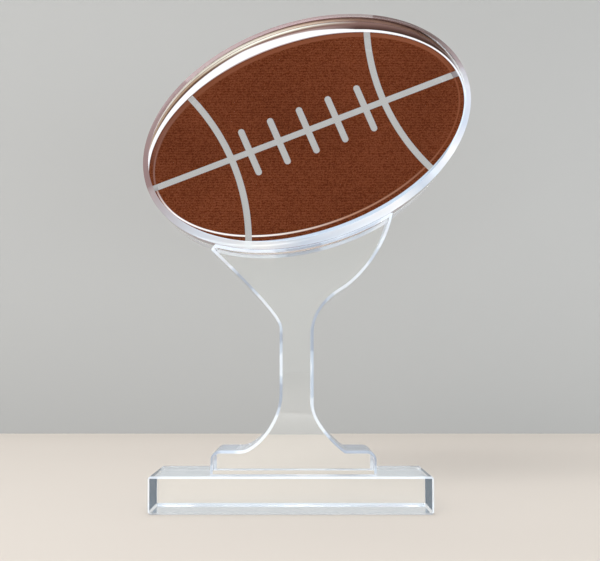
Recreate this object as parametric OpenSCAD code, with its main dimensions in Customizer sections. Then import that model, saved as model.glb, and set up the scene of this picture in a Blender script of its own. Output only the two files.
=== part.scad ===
// Football trophy stand in clear acrylic: a base block, a goblet-shaped stem and a laminated football.
// Millimetres, +X to the viewer's right, -Y to the front, +Z up, origin under the middle of the base.

/* [Base] */
// Width of the base block
base_w = 113; // [100:1:130]
// Depth of the base block, front to back
base_d = 32; // [30:0.5:45]
// Height of the base block
base_h = 15; // [12:0.5:20]
// Polished chamfer on all edges of the base block
base_bevel = 0.8; // [0.6:0.1:2]

/* [Football] */
// Half of the football's long axis
ball_a = 68.8; // [60:0.1:70]
// Half of the football's short axis
ball_b = 44.7; // [42:0.1:47]
// Thickness of the laminated football, front to back
ball_t = 30; // [26:0.5:32]
// Chamfer around the football's front and back edges
ball_bevel = 2.5; // [1:0.1:3]
// Rise of the football's long axis towards the right, in degrees
ball_tilt = 20; // [17:0.5:23]
// Football's centre, to the right of the middle of the base
ball_x = 6.6; // [4:0.1:8]
// Height of the football's centre
ball_z = 153.7; // [152:0.1:156]

/* [Print] */
// Clear margin between the print and the football's edge, at its two tips
print_tip_margin = 0.8; // [0.6:0.1:5]
// Clear margin between the print and the football's edge, at its upper and lower side
print_side_margin = 5.4; // [3:0.1:8]
// Width of the clear line along the football
lace_line_w = 2.5; // [1.5:0.1:3]
// Offset of the laces and seams towards the football's upper edge
lace_lift = 2.2; // [0:0.1:3]
// Turn of the laces and seams against the football's long axis, in degrees
lace_turn = 1; // [0:0.1:3]
// Lean of the cross laces and seams against the clear line, in degrees
lace_lean = 2.5; // [0:0.1:4]
// Length of each cross lace
lace_l = 20.8; // [16:0.1:24]
// Width of each cross lace
lace_w = 2.7; // [1.5:0.1:3.5]
// Spacing of the cross laces
lace_pitch = 12.8; // [11:0.1:13]
// Number of cross laces
lace_count = 5; // [3:2:5]
// Distance of each curved seam from the middle lace, along the long axis
seam_x = 33.8; // [31:0.1:36]
// Width of the clear line at each curved seam
seam_w = 2.7; // [1.5:0.1:3.5]
// Radius of the curved seams
seam_r = 86; // [75:1:100]
// Offset of the laces and seams along the long axis, towards the right
lace_shift = 1.2; // [0:0.1:2]

/* [Stem] */
// Thickness of the stem plate, front to back
stem_t = 24; // [18:0.5:26]
// Chamfer around the stem plate's front and back edges
stem_bevel = 1.1; // [0.6:0.1:1.2]
// Reach of the foot to the left of the middle of the base
foot_left = 32.3; // [30:0.1:36]
// Reach of the foot to the right of the middle of the base
foot_right = 34.4; // [32:0.1:38]
// Height of the foot above the base block
foot_h = 9.7; // [8:0.1:12]
// Radius of the foot's two upper corners
foot_r = 4; // [2:0.1:5]
// Width of the neck
neck_w = 13.7; // [11:0.1:18]
// Middle of the neck, to the right of the middle of the base
neck_x = 2.3; // [0:0.1:4]
// Height at which the shoulders run into the straight neck
neck_low = 46; // [43:0.5:50]
// Height at which the neck starts to flare into the cradle
neck_high = 74; // [70:0.5:76]

/* [Bonds] */
// Thickness of the clear bond under the foot and under the football
bond_t = 0.3; // [0.2:0.05:0.5]
// Thickness of the clear laminating film between the football's two plates
film_t = 0.6; // [0.4:0.05:0.8]
// Thickness of the printed ink layer inside the laminating film
ink_t = 0.2; // [0.1:0.05:0.3]

/* [Hidden] */

clear_tint = [0.86, 0.92, 0.96, 0.45];   // clear acrylic
bond_tint = [0.93, 0.95, 0.96, 0.35];    // clear cement and laminating film
leather_brown = [0.42, 0.22, 0.13];      // printed ink

$fn = 96;
ball_step = 2.5;                         // degrees between two points of the football's outline
curve_steps = 18;                        // straight pieces in each curve of the stem's outline
corner_steps = 8;                        // straight pieces in each rounded corner of the foot
far = 200;                               // longer than anything it cuts
cut_spare = 0.2;                         // how far a cutter runs past the faces it cuts

// The cradle spans these angles of the football's outline.
cradle_from = -72;
cradle_to = -137.5;

// Where the stem's curves start and turn, and how far their handles reach.
sole_spare = 4;                          // the foot is drawn this far below the bond, then trimmed level
foot_run_right = 13;                     // the foot's flat top ends this far from the neck
foot_run_left = 15.8;
shoulder_drop = 3;                       // the right shoulder meets the neck this far below neck_low
shoulder_rise = 1;                       // the left shoulder meets the neck this far above it
right_shoulder_reach = [12.2, 8];        // handles: along the foot from the neck, down the neck
left_shoulder_reach = [10, 11.2];
bowl_out = 11.7;                         // the right flare turns this far from the neck
bowl_up = 15.4;                          // and this far above neck_high
bowl_dir = [cos(30), sin(30)];           // the way the right flare runs where it turns
bowl_reach = [5, 13.2];                  // handles before and after the turn
right_neck_reach = [2, 7];               // the right flare starts below neck_high, its handle ends above
left_neck_reach = 5;
right_tip_reach = [1.6, 19.4];           // handle down from the cradle's right tip
left_tip_blunt = [1.6, 2.1];             // cut that takes off the cradle's sharp left tip
left_tip_reach = [6, 5.6];

foot_bottom = base_h + bond_t;
foot_top = base_h + foot_h;
neck_left = neck_x - neck_w / 2;
neck_right = neck_x + neck_w / 2;
film_front = -film_t / 2;                // the front plate's inner face
print_a = ball_a - print_tip_margin;
print_b = ball_b - print_side_margin;

// ---- points and outlines, in the plane of the plates as [x, z] ----

function unit(v) = v / norm(v);
function turned_left(v) = [-v[1], v[0]];

// A point of the football's outline, grown outwards by g.
function ball_point(angle, g = 0) =
    let (u = (ball_a + g) * cos(angle), v = (ball_b + g) * sin(angle))
    [ball_x + u * cos(ball_tilt) - v * sin(ball_tilt),
     ball_z + u * sin(ball_tilt) + v * cos(ball_tilt)];

function ball_outline() = [for (angle = [0 : ball_step : 360 - ball_step]) ball_point(angle)];

// The football's edge above the cradle, from right to left, grown outwards by g.
function cradle_arc(g) = [for (angle = [cradle_from : -ball_step : cradle_to]) ball_point(angle, g)];

function arc(center, r, from, to, steps) =
    [for (i = [0 : steps]) let (angle = from + (to - from) * i / steps)
        center + r * [cos(angle), sin(angle)]];

// A cubic curve between two points with two handles, without its last point.
function curve(start, start_handle, end_handle, end) =
    [for (i = [0 : curve_steps - 1]) let (t = i / curve_steps, s = 1 - t)
        s * s * s * start + 3 * s * s * t * start_handle + 3 * s * t * t * end_handle + t * t * t * end];

// An outline moved inwards by d, mitred at each of its points.
function inset(path, d) =
    let (count = len(path))
    [for (i = [0 : count - 1])
        let (before = turned_left(unit(path[i] - path[(i + count - 1) % count])),
             after = turned_left(unit(path[(i + 1) % count] - path[i])),
             middle = unit(before + after))
        path[i] + middle * d / (middle * before)];

// The stem's outline, anticlockwise from the foot's lower left corner.
function stem_outline() =
    let (
        below = foot_bottom - sole_spare,
        right_neck_low = [neck_right, neck_low - shoulder_drop],
        left_neck_low = [neck_left, neck_low + shoulder_rise],
        right_neck_high = [neck_right, neck_high - right_neck_reach[0]],
        left_neck_high = [neck_left, neck_high],
        bowl = [neck_right + bowl_out, neck_high + bowl_up],
        right_tip = ball_point(cradle_from, bond_t),
        left_tip = ball_point(cradle_to, bond_t) - left_tip_blunt
    )
    concat(
        [[-foot_left, below], [foot_right, below]],
        arc([foot_right - foot_r, foot_top - foot_r], foot_r, 0, 90, corner_steps),
        curve([neck_right + foot_run_right, foot_top], [neck_right + right_shoulder_reach[0], foot_top],
              right_neck_low - [0, right_shoulder_reach[1]], right_neck_low),
        curve(right_neck_high, [neck_right, neck_high + right_neck_reach[1]],
              bowl - bowl_reach[0] * bowl_dir, bowl),
        curve(bowl, bowl + bowl_reach[1] * bowl_dir, right_tip - right_tip_reach, right_tip),
        cradle_arc(bond_t),
        curve(left_tip, left_tip + [left_tip_reach[0], -left_tip_reach[1]],
              left_neck_high + [0, left_neck_reach], left_neck_high),
        curve(left_neck_low, left_neck_low - [0, left_shoulder_reach[1]],
              [neck_left - left_shoulder_reach[0], foot_top], [neck_left - foot_run_left, foot_top]),
        arc([-foot_left + foot_r, foot_top - foot_r], foot_r, 90, 180, corner_steps)
    );

// ---- building blocks ----

// A drawing in the plane of the plates, extruded between two depths.
module upright(front, back) {
    translate([0, back, 0]) rotate([90, 0, 0]) linear_extrude(back - front, convexity = 6) children();
}

// A plate of the given outline between two depths, with its front and back edges chamfered.
module plate(outline, front, back, front_bevel, back_bevel) {
    difference() {
        upright(front, back) polygon(outline);
        if (front_bevel > 0) bevel_cutter(outline, front, front_bevel, 1);
        if (back_bevel > 0) bevel_cutter(outline, back, back_bevel, -1);
    }
}

// A three-sided ring along the outline that takes a chamfer off the edge of one face.
// into is 1 where the plate lies behind the face and -1 where it lies in front of it.
module bevel_cutter(outline, face, bevel, into) {
    count = len(outline);
    rings = [
        [inset(outline, bevel + cut_spare), face - into * cut_spare],
        [inset(outline, -cut_spare), face + into * (bevel + cut_spare)],
        [inset(outline, -cut_spare), face - into * cut_spare]
    ];
    quads = [for (k = [0 : 2], i = [0 : count - 1])
        let (j = (i + 1) % count, here = k * count, there = (k + 1) % 3 * count)
        [here + i, here + j, there + j, there + i]];
    polyhedron(
        points = [for (ring = rings, p = ring[0]) [p[0], ring[1], p[1]]],
        faces = into < 0 ? quads : [for (q = quads) [q[3], q[2], q[1], q[0]]],
        convexity = 8
    );
}

// A box that loses its corner at all twelve edges.
module chamfered_box(size, bevel) {
    module side_view(w, h) {
        polygon([
            [-w / 2 + bevel, 0], [w / 2 - bevel, 0], [w / 2, bevel], [w / 2, h - bevel],
            [w / 2 - bevel, h], [-w / 2 + bevel, h], [-w / 2, h - bevel], [-w / 2, bevel]
        ]);
    }
    intersection() {
        upright(-size[1] / 2, size[1] / 2) side_view(size[0], size[2]);
        rotate([0, 0, 90]) upright(-size[0] / 2, size[0] / 2) side_view(size[1], size[2]);
        linear_extrude(size[2]) translate([0, -size[1] / 2]) side_view(size[0], size[1]);
    }
}

// Places a drawing made on the football's own axes.
module on_ball() {
    translate([ball_x, ball_z]) rotate(ball_tilt) children();
}

// Places a drawing made on the axes of the laces, where the clear line is level.
module on_laces() {
    rotate(lace_turn) translate([lace_shift, lace_lift]) children();
}

// The disc whose edge is one curved seam: side is -1 or 1, grow moves the edge outwards.
module seam_disc(side, grow) {
    on_laces() translate([side * seam_x, 0]) rotate(lace_lean) translate([side * seam_r, 0])
        circle(seam_r + grow);
}

module cross_lace() {
    reach = (lace_l - lace_w) / 2;
    rotate(lace_lean) {
        square([lace_w, 2 * reach], center = true);
        for (end = [-1, 1]) translate([0, end * reach]) circle(lace_w / 2);
    }
}

module laces() {
    on_laces() for (i = [0 : lace_count - 1])
        translate([(i - (lace_count - 1) / 2) * lace_pitch, 0]) cross_lace();
}

// Everything on one side of the clear line: half is 1 above it and -1 below.
module side_of_line(half) {
    on_laces() translate([-far, half > 0 ? lace_line_w / 2 : -far - lace_line_w / 2]) square([2 * far, far]);
}

// One of the six printed panels: side is -1, 0 or 1 from left to right, half is 1 above the line.
module panel_shape(side, half) {
    difference() {
        intersection() {
            scale([print_a / print_b, 1]) circle(print_b);
            side_of_line(half);
            if (side != 0) seam_disc(side, -seam_w / 2);
            else square([2 * far, 2 * far], center = true);
        }
        if (side == 0) {
            for (end = [-1, 1]) seam_disc(end, seam_w / 2);
            laces();
        }
    }
}

module panel(side, half) {
    color(leather_brown) upright(film_front, film_front + ink_t) on_ball() panel_shape(side, half);
}

// ---- pieces ----

module base_block() {
    color(clear_tint) chamfered_box([base_w, base_d, base_h], base_bevel);
}

module foot_bond() {
    color(bond_tint) translate([-foot_left, -stem_t / 2, base_h])
        cube([foot_left + foot_right, stem_t, bond_t]);
}

module stem_plate() {
    color(clear_tint) intersection() {
        plate(stem_outline(), -stem_t / 2, stem_t / 2, stem_bevel, stem_bevel);
        translate([-far / 2, -far / 2, foot_bottom]) cube(far);
    }
}

module cradle_bond() {
    outer = cradle_arc(bond_t);
    inner = cradle_arc(0);
    color(bond_tint) upright(-stem_t / 2, stem_t / 2)
        polygon(concat(outer, [for (i = [len(inner) - 1 : -1 : 0]) inner[i]]));
}

module ball_front_plate() {
    color(clear_tint) plate(ball_outline(), -ball_t / 2, film_front, ball_bevel, 0);
}

module ball_back_plate() {
    color(clear_tint) plate(ball_outline(), -film_front, ball_t / 2, 0, ball_bevel);
}

module laminate_film() {
    color(bond_tint) difference() {
        upright(film_front, -film_front) polygon(ball_outline());
        upright(film_front - cut_spare, film_front + ink_t) on_ball()
            for (side = [-1 : 1], half = [-1, 1]) panel_shape(side, half);
    }
}

module panel_left_upper() { panel(-1, 1); }
module panel_left_lower() { panel(-1, -1); }
module panel_middle_upper() { panel(0, 1); }
module panel_middle_lower() { panel(0, -1); }
module panel_right_upper() { panel(1, 1); }
module panel_right_lower() { panel(1, -1); }

base_block();
foot_bond();
stem_plate();
cradle_bond();
ball_front_plate();
ball_back_plate();
laminate_film();
panel_left_upper();
panel_left_lower();
panel_middle_upper();
panel_middle_lower();
panel_right_upper();
panel_right_lower();
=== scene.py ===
import math

import bpy
from mathutils import Matrix, Vector


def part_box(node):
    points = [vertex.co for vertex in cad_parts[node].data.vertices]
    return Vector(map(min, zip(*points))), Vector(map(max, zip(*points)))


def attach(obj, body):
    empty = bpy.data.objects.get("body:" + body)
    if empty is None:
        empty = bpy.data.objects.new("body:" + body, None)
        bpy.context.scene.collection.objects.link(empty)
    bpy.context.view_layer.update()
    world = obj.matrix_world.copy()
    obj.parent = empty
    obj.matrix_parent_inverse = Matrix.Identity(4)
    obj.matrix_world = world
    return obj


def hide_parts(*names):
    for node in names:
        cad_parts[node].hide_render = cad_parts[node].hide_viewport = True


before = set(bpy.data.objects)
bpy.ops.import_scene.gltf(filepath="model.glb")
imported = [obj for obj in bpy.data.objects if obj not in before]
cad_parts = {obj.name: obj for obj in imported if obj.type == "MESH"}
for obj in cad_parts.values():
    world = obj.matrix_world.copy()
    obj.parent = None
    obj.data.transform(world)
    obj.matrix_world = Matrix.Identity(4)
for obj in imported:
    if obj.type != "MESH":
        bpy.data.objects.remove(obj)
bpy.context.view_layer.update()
mm = 0.001
same = 0.01 * mm  # closer than this counts as the same place
easing = dict(sharp=math.radians(30), smooth=math.radians(28), steps=2)
# how far a face looks along an axis, where 1 is straight along it
straight, nearly, edgeOn = 0.99, 0.9, 0.01


def letGo():
    if bpy.context.object is not None and bpy.context.object.mode != "OBJECT":
        bpy.ops.object.mode_set(mode="OBJECT")
    bpy.ops.object.select_all(action="DESELECT")


def grab(piece):
    letGo()
    piece.select_set(True)
    bpy.context.view_layer.objects.active = piece


def selectNothing(mesh):
    for parts in (mesh.polygons, mesh.edges, mesh.vertices):
        parts.foreach_set("select", [False] * len(parts))


# test gets the two ends of an edge
def pickEdges(piece, test):
    grab(piece)
    mesh = piece.data
    selectNothing(mesh)
    for edge in mesh.edges:
        edge.select = test(*(mesh.vertices[v].co for v in edge.vertices))
    bpy.context.tool_settings.mesh_select_mode = (False, True, False)
    bpy.ops.object.mode_set(mode="EDIT")


# test gets the middle and the normal of a face
def paintFaces(piece, slotIndex, test):
    for face in piece.data.polygons:
        if test(face.center, face.normal):
            face.material_index = slotIndex


def chamfer(piece, width, test):
    pickEdges(piece, test)
    bpy.ops.mesh.bevel(offset=width, offset_type="OFFSET", segments=1, affect="EDGES", clamp_overlap=False)
    bpy.ops.object.mode_set(mode="OBJECT")


# cuts the whole mesh along a plane and keeps both sides
def score(piece, point, normal):
    grab(piece)
    bpy.ops.object.mode_set(mode="EDIT")
    bpy.ops.mesh.select_all(action="SELECT")
    bpy.ops.mesh.bisect(plane_co=point, plane_no=normal)
    bpy.ops.object.mode_set(mode="OBJECT")


def pullSolid(piece, push):
    grab(piece)
    bpy.ops.object.mode_set(mode="EDIT")
    bpy.ops.mesh.select_all(action="SELECT")
    bpy.ops.mesh.extrude_region_move(TRANSFORM_OT_translate={"value": push})
    bpy.ops.mesh.select_all(action="SELECT")
    bpy.ops.mesh.normals_make_consistent(inside=False)
    bpy.ops.object.mode_set(mode="OBJECT")


# a hand-polished edge: a tiny round on every sharp edge, flat faces kept flat
def easeEdges(piece, width):
    grab(piece)
    bpy.ops.object.modifier_add(type="BEVEL")
    ease = piece.modifiers[-1]
    ease.limit_method = "ANGLE"
    ease.angle_limit = easing["sharp"]
    ease.width = width
    ease.segments = easing["steps"]
    ease.use_clamp_overlap = False
    ease.harden_normals = True
    bpy.ops.object.shade_smooth_by_angle(angle=easing["smooth"])
    bpy.ops.object.modifier_apply(modifier=ease.name)


def finishPiece(piece, node, slotName, *materials):
    for material in materials:
        piece.data.materials.append(material)
    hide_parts(node)
    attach(piece, "root")


def newMaterial(name):
    material = bpy.data.materials.new(name)
    material.use_nodes = True
    nodes, links = material.node_tree.nodes, material.node_tree.links
    return material, nodes, links, nodes["Principled BSDF"], nodes["Material Output"]


def addSockets(group, way, *names):
    for name in names:
        group.interface.new_socket(name, in_out=way, socket_type="NodeSocketFloat")


def addMath(nodes, links, operation, first, second=None):
    step = nodes.new("ShaderNodeMath")
    step.operation = operation
    for socket, value in zip(step.inputs, (first, second)):
        if isinstance(value, bpy.types.NodeSocket):
            links.new(value, socket)
        elif value is not None:
            socket.default_value = value
    return step.outputs["Value"]


hazeClouds = dict(scale=60, detail=3, low=0.45, high=0.75)


# faint haze and polishing waves, on the object's own coordinates
def buildPolishGroup():
    group = bpy.data.node_groups.new("polishWaves", "ShaderNodeTree")
    addSockets(group, "INPUT", "Wave Scale", "Haze Low", "Haze High")
    addSockets(group, "OUTPUT", "Roughness", "Height")
    nodes, links = group.nodes, group.links
    come, go = nodes.new("NodeGroupInput"), nodes.new("NodeGroupOutput")
    place = nodes.new("ShaderNodeTexCoord")
    waves = nodes.new("ShaderNodeTexNoise")
    waves.inputs["Detail"].default_value = 1
    clouds = nodes.new("ShaderNodeTexNoise")
    clouds.inputs["Scale"].default_value = hazeClouds["scale"]
    clouds.inputs["Detail"].default_value = hazeClouds["detail"]
    spread = nodes.new("ShaderNodeMapRange")
    spread.inputs["From Min"].default_value = hazeClouds["low"]
    spread.inputs["From Max"].default_value = hazeClouds["high"]
    links.new(place.outputs["Object"], waves.inputs["Vector"])
    links.new(place.outputs["Object"], clouds.inputs["Vector"])
    links.new(come.outputs["Wave Scale"], waves.inputs["Scale"])
    links.new(clouds.outputs["Fac"], spread.inputs["Value"])
    links.new(come.outputs["Haze Low"], spread.inputs["To Min"])
    links.new(come.outputs["Haze High"], spread.inputs["To Max"])
    links.new(spread.outputs["Result"], go.inputs["Roughness"])
    links.new(waves.outputs["Fac"], go.inputs["Height"])
    return group


polishWaves = buildPolishGroup()

# the football's size and place, which its painted highlights and reflections follow too; they are measured from
# shadeOval
ball = dict(halfLength=68.78 * mm, halfHeight=44.68 * mm, face=15 * mm, joint=0.3 * mm, chamfer=2.5 * mm,
            tilt=math.radians(20), x=6.6 * mm, z=153.7 * mm, corners=288, ease=0.12 * mm,
            shadeOval=(68.8 * mm, 44.7 * mm))


# how far a point lies outside an oval on the football's axes, and in which direction round it
def buildOvalGroup():
    group = bpy.data.node_groups.new("roundTheOval", "ShaderNodeTree")
    addSockets(group, "INPUT", "Half Length", "Half Height")
    addSockets(group, "OUTPUT", "Outside", "Turn", "Depth")
    nodes, links = group.nodes, group.links
    come, go = nodes.new("NodeGroupInput"), nodes.new("NodeGroupOutput")
    place = nodes.new("ShaderNodeTexCoord")
    level = nodes.new("ShaderNodeMapping")
    level.vector_type = "TEXTURE"
    level.inputs["Location"].default_value = (ball["x"], 0, ball["z"])
    level.inputs["Rotation"].default_value = (0, -ball["tilt"], 0)
    parts = nodes.new("ShaderNodeSeparateXYZ")
    links.new(place.outputs["Object"], level.inputs["Vector"])
    links.new(level.outputs["Vector"], parts.inputs["Vector"])
    a, b = come.outputs["Half Length"], come.outputs["Half Height"]
    u = addMath(nodes, links, "DIVIDE", parts.outputs["X"], a)
    v = addMath(nodes, links, "DIVIDE", parts.outputs["Z"], b)
    lengths = []
    steeper = addMath(nodes, links, "DIVIDE", u, a), addMath(nodes, links, "DIVIDE", v, b)
    for first, second in ((u, v), steeper):
        pair, length = nodes.new("ShaderNodeCombineXYZ"), nodes.new("ShaderNodeVectorMath")
        length.operation = "LENGTH"
        links.new(first, pair.inputs["X"])
        links.new(second, pair.inputs["Y"])
        links.new(pair.outputs["Vector"], length.inputs[0])
        lengths.append(length.outputs["Value"])
    radius, slope = lengths
    beyond = addMath(nodes, links, "MULTIPLY", addMath(nodes, links, "SUBTRACT", radius, 1.0), radius)
    links.new(addMath(nodes, links, "DIVIDE", beyond, slope), go.inputs["Outside"])
    turn = addMath(nodes, links, "DIVIDE", addMath(nodes, links, "ARCTAN2", v, u), 2 * math.pi)
    links.new(addMath(nodes, links, "ADD", turn, 0.5), go.inputs["Turn"])
    links.new(parts.outputs["Y"], go.inputs["Depth"])
    return group


roundTheOval = buildOvalGroup()

# lampShade is what lamp light keeps on its way through
flatPolish = dict(ior=1.49, waves=25, waveDepth=0.01 * mm, haze=(0.0, 0.015), lampShade=(0.95, 0.955, 0.96, 1))
cutPolish = dict(flatPolish, waves=40, waveDepth=0.02 * mm, haze=(0.01, 0.05))
clearLook = dict(flatPolish, tint=(0.985, 0.992, 1.0, 1), clear=1.0)
milkyLook = dict(flatPolish, tint=(0.98, 0.98, 0.96, 1), clear=0.952, waveDepth=0.004 * mm)
# the sole and the base's bevels are tinted pale blue-grey and partly opaque: a painted bluish reflection
soleLook = dict(flatPolish, tint=(0.8, 0.9, 1.0, 1), clear=0.6, waveDepth=0.003 * mm)
brimLook = dict(flatPolish, tint=(0.78, 0.82, 0.87, 1), clear=0.42, haze=(0.01, 0.03), waveDepth=0.004 * mm,
                lampShade=(0.5, 0.5, 0.51, 1))


# lamps and bounced light reach what lies behind the glass
def passLamps(nodes, links, surface, output, shade):
    path = nodes.new("ShaderNodeLightPath")
    through = nodes.new("ShaderNodeBsdfTransparent")
    through.inputs["Color"].default_value = shade
    lamps, bounces = nodes.new("ShaderNodeMixShader"), nodes.new("ShaderNodeMixShader")
    links.new(path.outputs["Is Shadow Ray"], lamps.inputs["Fac"])
    links.new(surface, lamps.inputs[1])
    links.new(through.outputs["BSDF"], lamps.inputs[2])
    links.new(path.outputs["Is Diffuse Ray"], bounces.inputs["Fac"])
    links.new(lamps.outputs["Shader"], bounces.inputs[1])
    links.new(through.outputs["BSDF"], bounces.inputs[2])
    links.new(bounces.outputs["Shader"], output.inputs["Surface"])


def clearMaterial(name, look):
    material, nodes, links, glass, output = newMaterial(name)
    if "tint" in look:  # the others get their colour from a ramp
        glass.inputs["Base Color"].default_value = look["tint"]
    glass.inputs["Transmission Weight"].default_value = look["clear"]
    glass.inputs["IOR"].default_value = look["ior"]
    polish = nodes.new("ShaderNodeGroup")
    polish.node_tree = polishWaves
    polish.inputs["Wave Scale"].default_value = look["waves"]
    polish.inputs["Haze Low"].default_value, polish.inputs["Haze High"].default_value = look["haze"]
    bump = nodes.new("ShaderNodeBump")
    bump.inputs["Strength"].default_value = 1
    bump.inputs["Distance"].default_value = look["waveDepth"]
    links.new(polish.outputs["Roughness"], glass.inputs["Roughness"])
    links.new(polish.outputs["Height"], bump.inputs["Height"])
    links.new(bump.outputs["Normal"], glass.inputs["Normal"])
    passLamps(nodes, links, glass.outputs["BSDF"], output, look["lampShade"])
    return material


# faces that are cemented together: light goes straight on through them
def bondMaterial():
    material, nodes, links, glass, output = newMaterial("cementedFace")
    glass.inputs["Base Color"].default_value = (1, 1, 1, 1)
    glass.inputs["Transmission Weight"].default_value = 1
    glass.inputs["IOR"].default_value = 1.0
    glass.inputs["Roughness"].default_value = 0
    passLamps(nodes, links, glass.outputs["BSDF"], output, (1, 1, 1, 1))
    return material


def addRamp(nodes, links, value, stops):
    ramp = nodes.new("ShaderNodeValToRGB")
    elements = ramp.color_ramp.elements
    while len(elements) < len(stops):
        elements.new(0.5)
    for element, (position, color) in zip(elements, stops):
        element.position = position
        element.color = (*color, 1)
    links.new(value, ramp.inputs["Fac"])
    return ramp.outputs["Color"]


def addMix(nodes, links, blend, amount, first, second):
    mix = nodes.new("ShaderNodeMix")
    mix.data_type = "RGBA"
    mix.blend_type = blend
    for socket, value in ((mix.inputs["Factor"], amount), (mix.inputs["A"], first), (mix.inputs["B"], second)):
        if isinstance(value, bpy.types.NodeSocket):
            links.new(value, socket)
        else:
            socket.default_value = value if isinstance(value, float) else (*value, 1)
    return mix.outputs["Result"]


# 0 at low and 1 at high
def addSpread(nodes, links, value, low, high):
    spread = nodes.new("ShaderNodeMapRange")
    spread.inputs["From Min"].default_value, spread.inputs["From Max"].default_value = low, high
    links.new(value, spread.inputs["Value"])
    return spread.outputs["Result"]


def addOvalPlace(nodes, oval):
    place = nodes.new("ShaderNodeGroup")
    place.node_tree = roundTheOval
    place.inputs["Half Length"].default_value, place.inputs["Half Height"].default_value = oval
    return place.outputs


# cut edge of the football: painted highlights and painted reflections of the print, which change round the oval,
# and on the wall through the thickness too
def rimMaterial(name, look):
    material = clearMaterial(name, look)
    nodes, links = material.node_tree.nodes, material.node_tree.links
    place = addOvalPlace(nodes, ball["shadeOval"])
    shade = addRamp(nodes, links, place["Turn"], look["around"])
    if "through" in look:
        depth = addSpread(nodes, links, place["Depth"], -ball["face"], ball["face"])
        shade = addMix(nodes, links, "MULTIPLY", 1.0, shade, addRamp(nodes, links, depth, look["through"]))
    links.new(shade, nodes["Principled BSDF"].inputs["Base Color"])
    return material


black, white = (0, 0, 0), (1, 1, 1)
# the pebbles and clouds are the print's own brown; the paler line round its edge is a painted highlight
inkLook = dict(oval=(68 * mm, 39.3 * mm), grain=2200, grainDetail=3,
               threads=290, threadBend=3, threadDetail=2, threadShare=0.12,
               pebbles=((0.38, (0.066, 0.013, 0.004)), (0.74, (0.152, 0.043, 0.0185))),
               clouds=((0.35, white), (0.65, (0.82, 0.8, 0.8))), cloudScale=22, cloudDetail=1, roughness=0.7,
               highlightRoom=4 * mm, thinHighlight=((0.38, black), (0.44, white), (0.54, white), (0.62, black)),
               wideHighlight=((0.45, black), (0.55, white), (0.88, (0.8, 0.8, 0.8)), (0.96, black)),
               highlightTints=((0.0, (0.3, 0.2, 0.17)), (0.06, (0.8, 0.76, 0.74)), (0.17, (0.75, 0.68, 0.62)),
                          (0.26, (0.32, 0.17, 0.11)), (0.4, (0.15, 0.045, 0.02)), (0.55, (0.18, 0.06, 0.03)),
                          (0.7, (0.17, 0.055, 0.027)), (0.85, (0.15, 0.05, 0.025)), (0.95, (0.18, 0.09, 0.07))),
               upperPart=((0.5, black), (0.56, white), (0.9, white), (0.96, black)))


# pebbled brown with a paler line that runs round a little inside its edge; that line is a painted highlight
def inkMaterial():
    material, nodes, links, ink, output = newMaterial("brownPrint")
    place = nodes.new("ShaderNodeTexCoord").outputs["Object"]
    noises = []
    for scale, detail in (("grain", "grainDetail"), ("cloudScale", "cloudDetail")):
        noise = nodes.new("ShaderNodeTexNoise")
        noise.inputs["Scale"].default_value = inkLook[scale]
        noise.inputs["Detail"].default_value = inkLook[detail]
        links.new(place, noise.inputs["Vector"])
        noises.append(noise.outputs["Fac"])
    threads = nodes.new("ShaderNodeTexWave")
    threads.bands_direction = "Z"
    for name, level in (("Scale", "threads"), ("Distortion", "threadBend"), ("Detail Scale", "threadDetail")):
        threads.inputs[name].default_value = inkLook[level]
    links.new(place, threads.inputs["Vector"])
    woven = addMath(nodes, links, "MULTIPLY", threads.outputs["Fac"], inkLook["threadShare"])
    pebbles = addRamp(nodes, links, addMath(nodes, links, "ADD", woven, noises[0]), inkLook["pebbles"])
    clouds = addRamp(nodes, links, noises[1], inkLook["clouds"])
    brown = addMix(nodes, links, "MULTIPLY", 1.0, pebbles, clouds)
    oval = addOvalPlace(nodes, inkLook["oval"])
    across = addSpread(nodes, links, oval["Outside"], -inkLook["highlightRoom"], 0)
    thin = addRamp(nodes, links, across, inkLook["thinHighlight"])
    wide = addRamp(nodes, links, across, inkLook["wideHighlight"])
    line = addMix(nodes, links, "MIX", addRamp(nodes, links, oval["Turn"], inkLook["upperPart"]), thin, wide)
    paintedHighlight = addRamp(nodes, links, oval["Turn"], inkLook["highlightTints"])
    links.new(addMix(nodes, links, "MIX", line, brown, paintedHighlight), ink.inputs["Base Color"])
    ink.inputs["Roughness"].default_value = inkLook["roughness"]
    ink.inputs["Specular IOR Level"].default_value = 0
    return material


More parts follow.
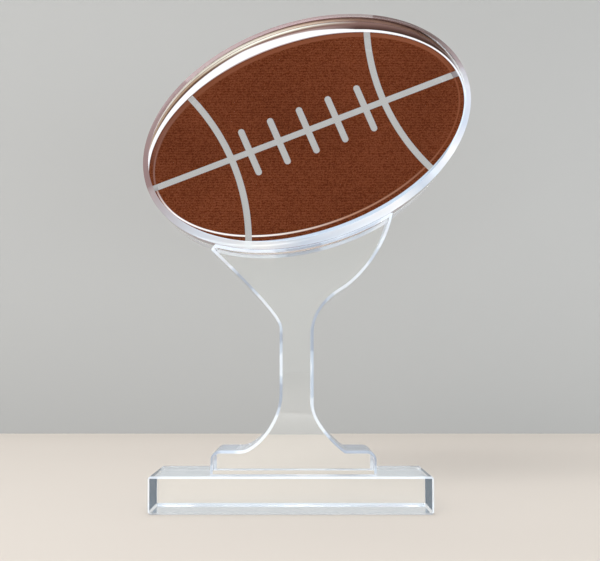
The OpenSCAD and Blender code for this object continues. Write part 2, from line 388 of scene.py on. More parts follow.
# the football's rim wall and bevel: painted highlights in white and blue-white, and painted reflections of the
# print in brown and pink
wallLook = dict(cutPolish, clear=0.2,
                around=((0.0, (0.9, 0.85, 0.83)), (0.08, (0.88, 0.92, 1)), (0.25, (0.88, 0.93, 1)),
                        (0.5, (0.88, 0.93, 1)), (0.55, (0.2, 0.13, 0.11)), (0.66, (0.3, 0.18, 0.14)),
                        (0.72, (0.6, 0.38, 0.28)), (0.79, (1, 0.97, 0.93)), (0.9, white)),
                through=((0.08, (0.5, 0.36, 0.36)), (0.27, (0.45, 0.3, 0.3)), (0.33, (0.16, 0.13, 0.12)),
                         (0.39, (0.95, 0.97, 0.9)), (0.47, (1, 1, 0.92)), (0.49, (0.3, 0.2, 0.15)),
                         (0.54, (0.9, 0.9, 0.9)), (0.97, (0.8, 0.8, 0.8))))
bevelLook = dict(cutPolish, clear=0.3,
                 around=((0.0, (0.3, 0.23, 0.23)), (0.05, (0.5, 0.5, 0.55)), (0.1, (0.72, 0.82, 0.93)),
                         (0.17, (0.95, 0.98, 1)), (0.21, (0.62, 0.72, 0.85)), (0.27, (0.85, 0.92, 1)),
                         (0.31, (0.95, 0.98, 1)), (0.34, (0.6, 0.7, 0.82)), (0.39, (0.95, 0.97, 1)),
                         (0.43, (0.66, 0.74, 0.86)), (0.48, (0.8, 0.83, 0.9)), (0.52, (0.4, 0.33, 0.34)),
                         (0.57, (0.14, 0.095, 0.09)), (0.66, (0.16, 0.095, 0.09)), (0.71, (0.21, 0.095, 0.1)),
                         (0.78, (0.21, 0.115, 0.115)), (0.92, (0.28, 0.2, 0.2))))
# its colours are painted highlights and painted reflections of the print and rim; width is the painted highlight's
# share of fullWidth, round the oval
marginLook = dict(clear=0.06, roughness=0.2, ring=5.4 * mm, nearPrint=4 * mm, fullWidth=5 * mm,
                  lampShade=(0.97, 0.97, 0.97, 1), bright=(0.76, 0.74, 0.75),
                  lower=((0.0, (0.47, 0.52, 0.6)), (0.3, (0.44, 0.5, 0.58)), (0.5, (0.3, 0.35, 0.41)),
                         (0.56, (0.6, 0.66, 0.72)), (1.0, (0.6, 0.66, 0.74))),
                  left=((0.58, (0.38, 0.28, 0.26)), (0.66, (0.3, 0.2, 0.18)), (0.74, (0.13, 0.065, 0.05)),
                        (0.82, (0.3, 0.22, 0.17)), (0.9, (0.8, 0.76, 0.66)), (1.0, (0.85, 0.88, 0.78))),
                  right=((0.1, (0.05, 0.03, 0.02)), (0.35, (0.05, 0.025, 0.02)), (0.6, (0.1, 0.055, 0.045)),
                         (0.85, (0.17, 0.1, 0.085))),
                  leftward=((0.66, black), (0.73, white)),
                  ends=((0.77, white), (0.84, (0.42, 0.3, 0.23)), (0.93, (0.4, 0.3, 0.25)),
                        (1.0, (0.7, 0.65, 0.6))),
                  width=((0.58, 0.15), (0.66, 0.27), (0.71, 0.62), (0.78, 0.84), (0.84, 0.62), (0.9, 0.38),
                         (0.97, 0.24)),
                  band=((0.05, black), (0.14, white), (0.84, white), (0.95, black)),
                  top=((0.48, black), (0.54, white), (0.97, white), (1.0, black)))


# satin margin of the laminate outside the print, with painted highlights and painted reflections of the print and
# rim round the oval
def marginMaterial():
    material, nodes, links, glass, output = newMaterial("laminateMargin")
    place = addOvalPlace(nodes, ball["shadeOval"])
    turn = place["Turn"]
    fromPrint = addOvalPlace(nodes, inkLook["oval"])["Outside"]
    across = addSpread(nodes, links, place["Outside"], -marginLook["ring"], 0)
    away = addSpread(nodes, links, fromPrint, 0, marginLook["nearPrint"])
    lower, left = (addRamp(nodes, links, across, marginLook[part]) for part in ("lower", "left"))
    right = addRamp(nodes, links, away, marginLook["right"])
    behind = addMix(nodes, links, "MIX", addRamp(nodes, links, turn, marginLook["leftward"]), right, left)
    behind = addMix(nodes, links, "MULTIPLY", 1.0, behind, addRamp(nodes, links, turn, marginLook["ends"]))
    # a painted highlight along the print, wide at the upper left and thin towards both tips
    width = addRamp(nodes, links, turn, [(at, (share, share, share)) for at, share in marginLook["width"]])
    steps = addMath(nodes, links, "DIVIDE", fromPrint, marginLook["fullWidth"])
    beside = addRamp(nodes, links, addMath(nodes, links, "DIVIDE", steps, width), marginLook["band"])
    upper = addMix(nodes, links, "MIX", beside, behind, marginLook["bright"])
    top = addRamp(nodes, links, turn, marginLook["top"])
    links.new(addMix(nodes, links, "MIX", top, lower, upper), glass.inputs["Base Color"])
    glass.inputs["Transmission Weight"].default_value = marginLook["clear"]
    glass.inputs["IOR"].default_value = 1.0
    glass.inputs["Roughness"].default_value = marginLook["roughness"]
    passLamps(nodes, links, glass.outputs["BSDF"], output, marginLook["lampShade"])
    return material


# the stem's cut edges get painted highlights in white and blue-grey stretches
edgeLook = dict(cutPolish, clear=0.3, edgeHighlightScale=60,
                edgeHighlightShades=((0.42, (0.36, 0.4, 0.47)), (0.45, (0.5, 0.56, 0.65)), (0.54, (0.56, 0.62, 0.71)),
                        (0.57, (0.75, 0.79, 0.85))))
cutLook = dict(edgeLook, clear=0.35)


# cut edges of the stem: painted highlights, white stretches and a few blue-grey ones
def edgeMaterial(name, look):
    material = clearMaterial(name, look)
    nodes, links = material.node_tree.nodes, material.node_tree.links
    paintedStretches = nodes.new("ShaderNodeTexNoise")
    paintedStretches.inputs["Scale"].default_value = look["edgeHighlightScale"]
    paintedStretches.inputs["Detail"].default_value = 0
    flat = nodes.new("ShaderNodeMapping")  # the same shade all the way through the plate
    flat.inputs["Scale"].default_value = (1, 0, 1)
    links.new(nodes.new("ShaderNodeTexCoord").outputs["Object"], flat.inputs["Vector"])
    links.new(flat.outputs["Vector"], paintedStretches.inputs["Vector"])
    shade = addRamp(nodes, links, paintedStretches.outputs["Fac"], look["edgeHighlightShades"])
    links.new(shade, nodes["Principled BSDF"].inputs["Base Color"])
    return material


# deep is the colour of a painted dark reflection on the base's end faces
endLook = dict(clearLook, deep=(0.09, 0.125, 0.165, 1), roughness=0.3, slant=(0.6, 0.75), amount=0.95)


# end faces of the base: clear, but with a painted reflection in deep blue-grey where they mirror from inside
def endMaterial(name, look):
    material = clearMaterial(name, look)
    nodes, links = material.node_tree.nodes, material.node_tree.links
    glass, output = nodes["Principled BSDF"], nodes["Material Output"]
    deep = nodes.new("ShaderNodeBsdfPrincipled")
    deep.inputs["Base Color"].default_value = look["deep"]
    deep.inputs["Roughness"].default_value = look["roughness"]
    deep.inputs["Specular IOR Level"].default_value = 0
    slant, side = nodes.new("ShaderNodeLayerWeight"), nodes.new("ShaderNodeNewGeometry")
    slanted = addSpread(nodes, links, slant.outputs["Facing"], *look["slant"])
    inside = addMath(nodes, links, "MULTIPLY", slanted, side.outputs["Backfacing"])
    choose = nodes.new("ShaderNodeMixShader")
    links.new(addMath(nodes, links, "MULTIPLY", inside, look["amount"]), choose.inputs["Fac"])
    links.new(glass.outputs["BSDF"], choose.inputs[1])
    links.new(deep.outputs["BSDF"], choose.inputs[2])
    passLamps(nodes, links, choose.outputs["Shader"], output, look["lampShade"])
    return material


clearFace = clearMaterial("clearAcrylic", clearLook)
milkyFace = clearMaterial("milkyAcrylic", milkyLook)
soleFace = clearMaterial("baseSole", soleLook)
endFace = endMaterial("baseEnd", endLook)
cutEdge = edgeMaterial("polishedEdge", edgeLook)
cutBevel = edgeMaterial("polishedBevel", cutLook)
baseBevel = clearMaterial("baseBevel", brimLook)
rimWall = rimMaterial("footballRim", wallLook)
rimBevel = rimMaterial("footballBevel", bevelLook)
laminateMargin = marginMaterial()
cementedFace = bondMaterial()
brownPrint = inkMaterial()
print("finishes ready")


# the cradle spans these angles of the football's outline; onArc is how near its arc a place has to lie,
# and the bevel's rear half is left clear in it above that height
cradle = dict(fromAngle=-72, toAngle=-137.5, arcs=7, bond=0.3 * mm, reach=12 * mm, chamfer=1.1 * mm,
              onArc=0.004, clearAbove=100 * mm)


# an oval sheet on the football's own axes, facing the front
def addOval(name, halfLength, halfHeight, y, corners):
    letGo()
    bpy.ops.mesh.primitive_circle_add(vertices=corners, radius=1, fill_type="NGON",
                                      location=(ball["x"], y, ball["z"]),
                                      rotation=(math.radians(90), -ball["tilt"], 0))
    oval = bpy.context.object
    oval.name = name
    oval.scale = (halfLength, halfHeight, 1)
    bpy.ops.object.transform_apply(location=True, rotation=True, scale=True)
    return oval


# where a point lies on the football's own axes
def onBallAxes(point):
    x, z = point[0] - ball["x"], point[2] - ball["z"]
    c, s = math.cos(ball["tilt"]), math.sin(ball["tilt"])
    return x * c + z * s, z * c - x * s


def ballAngle(point):
    u, v = onBallAxes(point)
    return math.degrees(math.atan2(v / ball["halfHeight"], u / ball["halfLength"]))


def inCradle(center):
    return cradle["toAngle"] < ballAngle(center) < cradle["fromAngle"]


# side is -1 for the front plate and 1 for the back one
def makeBallPlate(name, node, side):
    joint, bondEnd = side * ball["joint"], side * (cradle["reach"] - cradle["chamfer"])
    plate = addOval(name, ball["halfLength"], ball["halfHeight"], joint, ball["corners"])
    pullSolid(plate, (0, side * (ball["face"] - ball["joint"]), 0))
    chamfer(plate, ball["chamfer"], lambda a, b: min(side * a.y, side * b.y) > ball["face"] - same)
    score(plate, (0, bondEnd, 0), (0, 1, 0))
    easeEdges(plate, ball["ease"])
    paintFaces(plate, 1, lambda c, n: abs(n.y) < edgeOn)
    paintFaces(plate, 2, lambda c, n: abs(c.y - joint) < same and abs(n.y) > straight)
    paintFaces(plate, 2, lambda c, n: abs(n.y) < edgeOn and side * c.y < side * bondEnd and inCradle(c))
    paintFaces(plate, 3, lambda c, n: edgeOn < abs(n.y) < straight)
    paintFaces(plate, 0, lambda c, n: abs(n.y) < straight and c.y > bondEnd and side > 0 and inCradle(c))
    finishPiece(plate, node, "clear_acrylic", clearFace, rimWall, cementedFace,
                rimBevel if side < 0 else clearFace)


makeBallPlate("ballFrontPlate", "ball_front_plate", -1)
makeBallPlate("ballBackPlate", "ball_back_plate", 1)
print("football plates ready")

# the film's last value is how far out from the middle the margin, with its painted highlights and reflections, may
# start
film = dict(half=0.27 * mm, recess=0.1 * mm, step=0.5 * mm, printLength=68 * mm, printHeight=39.4 * mm,
            paintedMarginFrom=20 * mm)


def makeFilm():
    halfLength, halfHeight = ball["halfLength"] - film["recess"], ball["halfHeight"] - film["recess"]
    sheet = addOval("laminatingFilm", halfLength, halfHeight, -film["half"], ball["corners"])
    grab(sheet)
    bpy.ops.object.mode_set(mode="EDIT")
    bpy.ops.mesh.select_all(action="SELECT")
    bpy.ops.mesh.inset(thickness=film["step"], use_even_offset=False)
    # the inner ring comes to lie on the print's outline
    along, up = film["printLength"] / (halfLength - film["step"]), film["printHeight"] / (halfHeight - film["step"])
    bpy.ops.transform.resize(value=(along, 1, up), orient_matrix=Matrix.Rotation(-ball["tilt"], 3, "Y"),
                             orient_type="LOCAL", orient_matrix_type="LOCAL",
                             center_override=(ball["x"], -film["half"], ball["z"]))
    bpy.ops.object.mode_set(mode="OBJECT")
    pullSolid(sheet, (0, 2 * film["half"], 0))
    grab(sheet)
    bpy.ops.object.shade_smooth_by_angle(angle=easing["smooth"])
    paintFaces(sheet, 1, lambda c, n: abs(n.y) > straight)
    paintFaces(sheet, 2, lambda c, n: abs(n.y) > straight and math.hypot(*onBallAxes(c)) > film["paintedMarginFrom"])
    finishPiece(sheet, "laminate_film", "clear_bond", cutEdge, cementedFace, laminateMargin)


makeFilm()

ink = dict(halfLength=67.98 * mm, halfHeight=39.28 * mm, front=-0.26 * mm, thick=0.14 * mm, corners=240,
           line=2.5 * mm, seamAt=33.8 * mm, seamWidth=2.7 * mm, seamRadius=86 * mm, laceLength=20.8 * mm,
           laceWidth=2.7 * mm, lacePitch=12.8 * mm, laceCount=5, shift=1.2 * mm, lift=2.2 * mm,
           tilt=ball["tilt"] + math.radians(1), lean=math.radians(2.5), seamCorners=720, laceCorners=48,
           cutterDepth=10 * mm)


# a place on the axes of the laces, with the clear line level
def onPrint(u, v):
    c, s = math.cos(ink["tilt"]), math.sin(ink["tilt"])
    middle = Vector((ball["x"], 0, ball["z"]))
    u, v = u + ink["shift"], v + ink["lift"]
    return middle + Vector((u * c - v * s, 0, u * s + v * c))


def cutWith(piece, cutter, operation):
    grab(piece)
    bpy.ops.object.modifier_add(type="BOOLEAN")
    cut = piece.modifiers[-1]
    cut.operation = operation
    cut.solver = "EXACT"
    cut.object = cutter
    bpy.ops.object.modifier_apply(modifier=cut.name)


# the cutters stand through the sheet and are thrown away afterwards
def seamCutter(side, grow):
    letGo()
    r, lean = ink["seamRadius"], ink["lean"]
    middle = onPrint(side * (ink["seamAt"] + r * math.cos(lean)), side * r * math.sin(lean))
    bpy.ops.mesh.primitive_cylinder_add(vertices=ink["seamCorners"], radius=r + grow, depth=ink["cutterDepth"],
                                        location=middle, rotation=(math.radians(90), -ink["tilt"], 0))
    return bpy.context.object


def laceCutter(u):
    half = (ink["laceLength"] - ink["laceWidth"]) / 2
    letGo()
    bpy.ops.mesh.primitive_cylinder_add(vertices=ink["laceCorners"], radius=ink["laceWidth"] / 2,
                                        depth=ink["cutterDepth"], location=(0, 0, 0),
                                        rotation=(0, 0, math.pi / ink["laceCorners"]))
    lace = bpy.context.object
    bpy.ops.object.transform_apply(location=True, rotation=True, scale=True)
    for end in (1, -1):  # pull each half of the round out to its end of the lace
        mesh = lace.data
        selectNothing(mesh)
        for vertex in mesh.vertices:
            vertex.select = vertex.co.y * end > 0
        bpy.context.tool_settings.mesh_select_mode = (True, False, False)
        bpy.ops.object.mode_set(mode="EDIT")
        bpy.ops.transform.translate(value=(0, end * half, 0))
        bpy.ops.object.mode_set(mode="OBJECT")
    lace.rotation_euler = (math.radians(90), -ink["tilt"] - ink["lean"], 0)
    lace.location = onPrint(u, 0)
    bpy.ops.object.transform_apply(location=True, rotation=True, scale=True)
    return lace


# side is -1, 0 or 1 from left to right, and half is 1 above the clear line and -1 below it
def makePanel(name, node, side, half, laces):
    panel = addOval(name, ink["halfLength"], ink["halfHeight"], ink["front"], ink["corners"])
    grab(panel)
    bpy.ops.object.mode_set(mode="EDIT")
    bpy.ops.mesh.select_all(action="SELECT")
    up = onPrint(0, 1) - onPrint(0, 0)
    bpy.ops.mesh.bisect(plane_co=onPrint(0, half * ink["line"] / 2), plane_no=up * half, clear_inner=True)
    bpy.ops.object.mode_set(mode="OBJECT")
    pullSolid(panel, (0, ink["thick"], 0))
    if side:
        seams = [(seamCutter(side, -ink["seamWidth"] / 2), "INTERSECT")]
    else:
        seams = [(seamCutter(end, ink["seamWidth"] / 2), "DIFFERENCE") for end in (-1, 1)]
    for seam, operation in seams:
        cutWith(panel, seam, operation)
        bpy.data.objects.remove(seam)
    if not side:
        for lace in laces:
            cutWith(panel, lace, "DIFFERENCE")
    finishPiece(panel, node, "brown_ink", brownPrint)


laceCutters = [laceCutter((i - (ink["laceCount"] - 1) / 2) * ink["lacePitch"]) for i in range(ink["laceCount"])]
for side, word in ((-1, "Left"), (0, "Middle"), (1, "Right")):
    for half, level in ((1, "Upper"), (-1, "Lower")):
        makePanel("print" + word + level, "panel_%s_%s" % (word.lower(), level.lower()), side, half, laceCutters)
for lace in laceCutters:
    bpy.data.objects.remove(lace)
print("print ready")


# a pull is how far a curve's handle reaches; necks are the heights at which the straight neck starts and ends
stem = dict(face=cradle["reach"], chamfer=cradle["chamfer"], ease=0.12 * mm, steps=12, tipRoom=3.4 * mm,
            footLeft=-32.3 * mm, footRight=34.4 * mm, bottom=15.3 * mm, top=24.7 * mm, footRound=4 * mm,
            shoulderRight=22.15 * mm, shoulderLeft=-20.35 * mm, neckLeft=-4.55 * mm, neckRight=9.15 * mm,
            rightNeck=(43 * mm, 72 * mm), leftNeck=(47 * mm, 74 * mm),
            rightShoulderPull=(0.8 * mm, 8 * mm), leftShoulderPull=(5.8 * mm, 11.2 * mm),
            bowl=(20.85 * mm, 89.4 * mm), bowlAngle=math.radians(30), bowlPull=(5 * mm, 8 * mm),
            rightNeckPull=9 * mm, rightTipPull=(2 * mm, 14 * mm), leftTipCut=(1.6 * mm, 2.1 * mm),
            leftTipPull=(6 * mm, -5.6 * mm), leftNeckPull=5 * mm)


def ballPoint(angle, grow=0.0):
    u = (ball["halfLength"] + grow) * math.cos(math.radians(angle))
    v = (ball["halfHeight"] + grow) * math.sin(math.radians(angle))
    c, s = math.cos(ball["tilt"]), math.sin(ball["tilt"])
    return Vector((ball["x"] + u * c - v * s, ball["z"] + u * s + v * c))


# the way the football's edge runs at an angle, for a handle that spans part of it
def ballHandle(angle, span, grow=0.0):
    a, b = ball["halfLength"] + grow, ball["halfHeight"] + grow
    u, v = -a * math.sin(math.radians(angle)), b * math.cos(math.radians(angle))
    c, s = math.cos(ball["tilt"]), math.sin(ball["tilt"])
    return Vector((u * c - v * s, u * s + v * c)) * (4 / 3 * math.tan(math.radians(span) / 4))


# the right tip, the arc's left end, and that end with its sharp corner cut off
def cradleTips():
    rightTip, arcEnd = (ballPoint(cradle[key], cradle["bond"]) for key in ("fromAngle", "toAngle"))
    return rightTip, arcEnd, arcEnd - Vector(stem["leftTipCut"])


# the stem's outline as a list of points, each between the handle before it and the one after it
def stemOutline():
    path = []  # each entry: start, its handle, the next one's handle

    def straight(start, end):
        path.append((start, start.lerp(end, 1 / 3), start.lerp(end, 2 / 3)))

    def bend(start, handle, nextHandle):
        path.append((start, handle, nextHandle))

    left, right, low, top, r = (stem[k] for k in ("footLeft", "footRight", "bottom", "top", "footRound"))
    pull = 0.5523 * r  # for a quarter of a circle
    rightLow, rightHigh = (Vector((stem["neckRight"], z)) for z in stem["rightNeck"])
    leftLow, leftHigh = (Vector((stem["neckLeft"], z)) for z in stem["leftNeck"])
    rightShoulder, leftShoulder = Vector((stem["shoulderRight"], top)), Vector((stem["shoulderLeft"], top))
    bowl = Vector(stem["bowl"])
    bowlWay = Vector((math.cos(stem["bowlAngle"]), math.sin(stem["bowlAngle"])))
    rightTip, arcEnd, leftTip = cradleTips()

    straight(Vector((left, low)), Vector((right, low)))
    straight(Vector((right, low)), Vector((right, top - r)))
    bend(Vector((right, top - r)), Vector((right, top - r + pull)), Vector((right - r + pull, top)))
    straight(Vector((right - r, top)), rightShoulder)
    along, up = stem["rightShoulderPull"]
    bend(rightShoulder, rightShoulder - Vector((along, 0)), rightLow - Vector((0, up)))
    straight(rightLow, rightHigh)
    before, after = stem["bowlPull"]
    bend(rightHigh, rightHigh + Vector((0, stem["rightNeckPull"])), bowl - before * bowlWay)
    bend(bowl, bowl + after * bowlWay, rightTip - Vector(stem["rightTipPull"]))
    step = (cradle["toAngle"] - cradle["fromAngle"]) / cradle["arcs"]
    for i in range(cradle["arcs"]):
        angle = cradle["fromAngle"] + i * step
        here, there = ballPoint(angle, cradle["bond"]), ballPoint(angle + step, cradle["bond"])
        bend(here, here + ballHandle(angle, step, cradle["bond"]),
             there - ballHandle(angle + step, step, cradle["bond"]))
    straight(arcEnd, leftTip)
    bend(leftTip, leftTip + Vector(stem["leftTipPull"]), leftHigh + Vector((0, stem["leftNeckPull"])))
    straight(leftHigh, leftLow)
    along, up = stem["leftShoulderPull"]
    bend(leftLow, leftLow - Vector((0, up)), leftShoulder + Vector((along, 0)))
    straight(leftShoulder, Vector((left + r, top)))
    bend(Vector((left + r, top)), Vector((left + r - pull, top)), Vector((left, top - r + pull)))
    straight(Vector((left, top - r)), Vector((left, low)))
    return [(path[i - 1][2], start, handle) for i, (start, handle, _) in enumerate(path)]


# a closed line through the points, made a mesh and stood up facing the front at a depth
def drawOutline(name, points, depth):
    letGo()
    bpy.ops.curve.primitive_bezier_circle_add(radius=0.01)
    drawn = bpy.context.object
    drawn.name = name
    spline = drawn.data.splines[0]
    spline.bezier_points.add(len(points) - len(spline.bezier_points))
    for point, (before, here, after) in zip(spline.bezier_points, points):
        point.handle_left_type = point.handle_right_type = "FREE"
        point.co = here.to_3d()
        point.handle_right = after.to_3d()
        point.handle_left = before.to_3d()
    drawn.data.dimensions = "2D"
    drawn.data.fill_mode = "NONE"
    drawn.data.resolution_u = stem["steps"]
    bpy.ops.object.convert(target="MESH")
    outline = bpy.context.object
    outline.rotation_euler = (math.radians(90), 0, 0)
    outline.location = (0, depth, 0)
    bpy.ops.object.transform_apply(location=True, rotation=True, scale=True)
    bpy.ops.object.mode_set(mode="EDIT")
    bpy.ops.mesh.select_all(action="SELECT")
    return outline


# whether a place lies on the cradle's own arc
def onCradle(point):
    u, v = onBallAxes(point)
    a, b = ball["halfLength"] + cradle["bond"], ball["halfHeight"] + cradle["bond"]
    return abs((u / a) ** 2 + (v / b) ** 2 - 1) < cradle["onArc"]


def makeStem():
    plate = drawOutline("stemPlate", stemOutline(), stem["face"])
    bpy.ops.mesh.remove_doubles(threshold=same)
    bpy.ops.mesh.edge_face_add()
    bpy.ops.object.mode_set(mode="OBJECT")
    # long edges beside the tips, so the chamfer has room there
    selectNothing(plate.data)
    for vertex in plate.data.vertices:
        spot = Vector((vertex.co.x, vertex.co.z))
        vertex.select = same < min((spot - tip).length for tip in cradleTips()) < stem["tipRoom"]
    bpy.context.tool_settings.mesh_select_mode = (True, False, False)
    bpy.ops.object.mode_set(mode="EDIT")
    bpy.ops.mesh.dissolve_verts()
    bpy.ops.object.mode_set(mode="OBJECT")
    pullSolid(plate, (0, -2 * stem["face"], 0))
    onSole = stem["bottom"] + same
    chamfer(plate, stem["chamfer"], lambda a, b: abs(a.y - b.y) < same and max(a.z, b.z) > onSole)
    easeEdges(plate, stem["ease"])
    paintFaces(plate, 1, lambda c, n: abs(n.y) < nearly)
    paintFaces(plate, 2, lambda c, n: n.z < -straight and c.z < onSole)
    paintFaces(plate, 2, lambda c, n: abs(n.y) < edgeOn and inCradle(c) and onCradle(c))
    paintFaces(plate, 3, lambda c, n: edgeOn < abs(n.y) < nearly
               and not (c.y > 0 and inCradle(c) and c.z > cradle["clearAbove"]))
    finishPiece(plate, "stem_plate", "clear_acrylic", milkyFace, cutEdge, cementedFace, cutBevel)


makeStem()
print("stem ready")

bond = dict(gap=0.03 * mm, sideGap=0.02 * mm, endAngle=0.5, corner=0.08 * mm)


# a thin curved strip, traced along the outer arc and back along the inner one
def makeCradleBond():
    arcs, outer, inner = cradle["arcs"], cradle["bond"] - bond["gap"], bond["gap"]
    fromAngle, toAngle = cradle["fromAngle"] - bond["endAngle"], cradle["toAngle"] + bond["endAngle"]
    step = (toAngle - fromAngle) / arcs
    path = []
    for grow, start, way in ((outer, fromAngle, step), (inner, toAngle, -step)):
        for i in range(arcs + 1):
            angle = start + i * way
            here, pull = ballPoint(angle, grow), ballHandle(angle, way, grow)
            path.append((here - pull if i else None, here, here + pull if i < arcs else None))
    points = []
    for i, (before, here, after) in enumerate(path):
        last, following = path[i - 1][1], path[(i + 1) % len(path)][1]
        points.append((before or here.lerp(last, 1 / 3), here, after or here.lerp(following, 1 / 3)))
    reach = cradle["reach"] - cradle["chamfer"] - bond["sideGap"]
    strip = drawOutline("cradleBond", points, reach)
    bpy.ops.mesh.edge_face_add()
    bpy.ops.object.mode_set(mode="OBJECT")
    pullSolid(strip, (0, -2 * reach, 0))
    grab(strip)
    bpy.ops.object.shade_smooth_by_angle(angle=easing["smooth"])
    paintFaces(strip, 1, lambda c, n: abs(n.y) < edgeOn)
    finishPiece(strip, "cradle_bond", "clear_bond", cutEdge, cementedFace)


makeCradleBond()


def makeFootBond():
    letGo()
    low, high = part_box("foot_bond")
    low.z, high.z = low.z + bond["gap"], high.z - bond["gap"]
    bpy.ops.mesh.primitive_cube_add(size=1, location=(low + high) / 2)
    pad = bpy.context.object
    pad.name = "footBond"
    pad.scale = high - low
    bpy.ops.object.transform_apply(location=True, rotation=True, scale=True)
    chamfer(pad, bond["corner"], lambda a, b: abs(a.z - b.z) > same)
    paintFaces(pad, 1, lambda c, n: abs(n.z) > straight)
    finishPiece(pad, "foot_bond", "clear_bond", cutEdge, cementedFace)


makeFootBond()
print("bonds ready")


# backFrom is where the back starts; flat and slant are how far a face looks one way to count as flat,
# and up or down to count as looking there
base = dict(width=113 * mm, depth=32 * mm, height=15 * mm, chamfer=0.8 * mm, ease=0.12 * mm,
            backFrom=5 * mm, flat=0.95, slant=0.3)


def makeBase():
    letGo()
    bpy.ops.mesh.primitive_cube_add(size=1, location=(0, 0, base["height"] / 2))
    block = bpy.context.object
    block.name = "baseBlock"
    block.scale = (base["width"], base["depth"], base["height"])
    bpy.ops.object.transform_apply(location=True, rotation=True, scale=True)
    chamfer(block, base["chamfer"], lambda a, b: True)
    low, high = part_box("foot_bond")  # the foot's outline is scored into the top
    for point, way in ((low, (1, 0, 0)), (high, (1, 0, 0)), (low, (0, 1, 0)), (high, (0, 1, 0))):
        score(block, point, way)
    easeEdges(block, base["ease"])
    paintFaces(block, 1, lambda c, n: max(abs(part) for part in n) < base["flat"]
               and (c.y < base["backFrom"] or n.z > base["slant"]))
    paintFaces(block, 2, lambda c, n: n.z > straight and c.z > base["height"] - same
               and low.x < c.x < high.x and low.y < c.y < high.y)
    paintFaces(block, 3, lambda c, n: abs(n.x) > straight)
    paintFaces(block, 4, lambda c, n: n.z < -straight or (n.z < -base["slant"] and c.y > base["backFrom"]))
    finishPiece(block, "base_block", "clear_acrylic", milkyFace, baseBevel, cementedFace, endFace, soleFace)


makeBase()
print("base ready")


studio = dict(floorSize=(8, 8), floorDrop=0.1 * mm, wallSize=(8, 3.2), wallAt=0.3215, wallMiddle=1.5,
              mottle=3, mottleDepth=0.97, roughness=0.9, shine=0.2, bounces=32,
              floorColor=(0.65, 0.59, 0.53, 1), wallColor=(0.345, 0.341, 0.33, 1),
              airColor=(0.72, 0.85, 1.0, 1), airLevel=0.3)


def stageMaterial(name, color, oneSided=False):
    material, nodes, links, paint, output = newMaterial(name)
    place = nodes.new("ShaderNodeTexCoord")
    mottle = nodes.new("ShaderNodeTexNoise")
    mottle.inputs["Scale"].default_value = studio["mottle"]
    mix = nodes.new("ShaderNodeMix")
    mix.data_type = "RGBA"
    mix.inputs["A"].default_value = color
    mix.inputs["B"].default_value = [c * studio["mottleDepth"] for c in color[:3]] + [1]
    links.new(place.outputs["Object"], mottle.inputs["Vector"])
    links.new(mottle.outputs["Fac"], mix.inputs["Factor"])
    links.new(mix.outputs["Result"], paint.inputs["Base Color"])
    paint.inputs["Roughness"].default_value = studio["roughness"]
    paint.inputs["Specular IOR Level"].default_value = studio["shine"]
    if oneSided:  # open from behind, so that the views from the back see past it
        side = nodes.new("ShaderNodeNewGeometry")
        through = nodes.new("ShaderNodeBsdfTransparent")
        choose = nodes.new("ShaderNodeMixShader")
        links.new(side.outputs["Backfacing"], choose.inputs["Fac"])
        links.new(paint.outputs["BSDF"], choose.inputs[1])
        links.new(through.outputs["BSDF"], choose.inputs[2])
        links.new(choose.outputs["Shader"], output.inputs["Surface"])
    return material


def addSheet(name, location, rotation, size, material):
    letGo()
    bpy.ops.mesh.primitive_plane_add(size=1, location=location, rotation=rotation)
    sheet = bpy.context.object
    sheet.name = name
    sheet.scale = (size[0], size[1], 1)
    bpy.ops.object.transform_apply(location=True, rotation=True, scale=True)
    sheet.data.materials.append(material)
    return sheet


floor = addSheet("paleFloor", (0, 0, -studio["floorDrop"]), (0, 0, 0), studio["floorSize"],
                 stageMaterial("floorPaint", studio["floorColor"]))
wall = addSheet("paleWall", (0, studio["wallAt"], studio["wallMiddle"]), (math.radians(90), 0, 0),
                studio["wallSize"], stageMaterial("wallPaint", studio["wallColor"], True))

world = bpy.data.worlds.new("studioAir")
bpy.context.scene.world = world
world.use_nodes = True
world.node_tree.nodes["Background"].inputs["Color"].default_value = studio["airColor"]
world.node_tree.nodes["Background"].inputs["Strength"].default_value = studio["airLevel"]
world.cycles_visibility.glossy = world.cycles_visibility.diffuse = False  # seen only through the clear edges


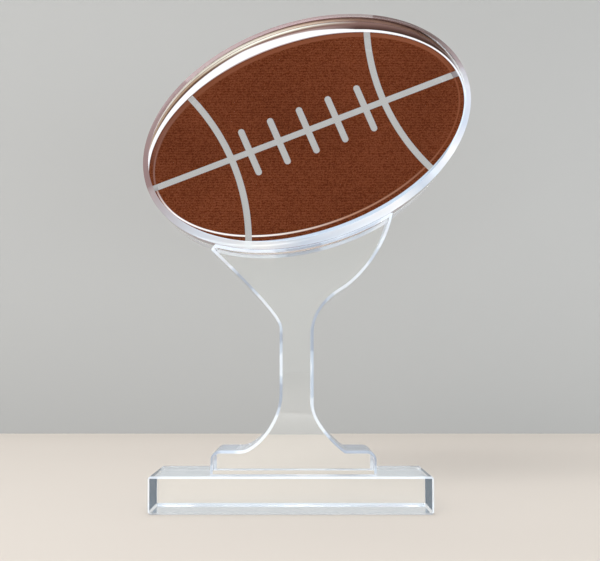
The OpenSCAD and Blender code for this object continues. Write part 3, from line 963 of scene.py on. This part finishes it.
def addSoftbox(name, location, target, width, height, glow, color=(1, 1, 1), mirrored=True):
    letGo()
    bpy.ops.object.light_add(type="AREA", location=location)
    lamp = bpy.context.object
    lamp.name = name
    lamp.data.shape = "RECTANGLE"
    lamp.data.size, lamp.data.size_y = width, height
    lamp.data.energy = glow * math.pi * width * height
    lamp.data.color = color
    lamp.rotation_euler = (Vector(target) - Vector(location)).to_track_quat("-Z", "Y").to_euler()
    lamp.visible_camera = False
    lamp.visible_glossy = lamp.visible_transmission = mirrored


# glow is a box's brightness, and one that isn't mirrored can't be seen in the clear pieces
softboxes = dict(
    keySoftbox=dict(location=(-0.7, -0.9, 1.05), target=(0, 0, 0.1), width=0.9, height=0.7, glow=9),
    overheadSoftbox=dict(location=(-0.1, -0.02, 0.8), target=(0, 0, 0.1), width=0.9, height=0.6, glow=1.2),
    leftSoftbox=dict(location=(-0.75, -0.1, 0.3), target=(0, 0, 0.12), width=0.5, height=0.7, glow=3,
                     color=(0.9, 0.95, 1), mirrored=False),
    rightSoftbox=dict(location=(0.8, -0.05, 0.3), target=(0, 0, 0.12), width=0.5, height=0.7, glow=4.2,
                      color=(0.9, 0.95, 1), mirrored=False),
    wallWash=dict(location=(0, 0.1, 0.06), target=(0, 0.3, 0.35), width=0.9, height=0.06, glow=1.5,
                  mirrored=False),
    lowFill=dict(location=(0.2, -0.5, 0.04), target=(0, 0, 0.18), width=1.0, height=0.12, glow=10,
                 color=(0.85, 0.93, 1), mirrored=False))
for name, values in softboxes.items():
    addSoftbox(name, **values)

scene = bpy.context.scene
scene.view_settings.view_transform = "Standard"
scene.cycles.max_bounces = scene.cycles.transmission_bounces = studio["bounces"]
scene.cycles.transparent_max_bounces = studio["bounces"]
scene.cycles.glossy_bounces = studio["bounces"] // 2

view = dict(place=(1.33 * mm, -311.7 * mm, 60 * mm), pitch=2.0, lens=44.8, sensor=36,
            shiftX=0.0097, shiftY=0.093, near=10 * mm)
letGo()
bpy.ops.object.camera_add(location=view["place"], rotation=(math.radians(90 + view["pitch"]), 0, 0))
camera = bpy.context.object
camera.data.lens = view["lens"]
camera.data.sensor_width = view["sensor"]
camera.data.shift_x = view["shiftX"]
camera.data.shift_y = view["shiftY"]
camera.data.clip_start = view["near"]
camera.data.dof.use_dof = False
scene.camera = camera
print("studio ready")
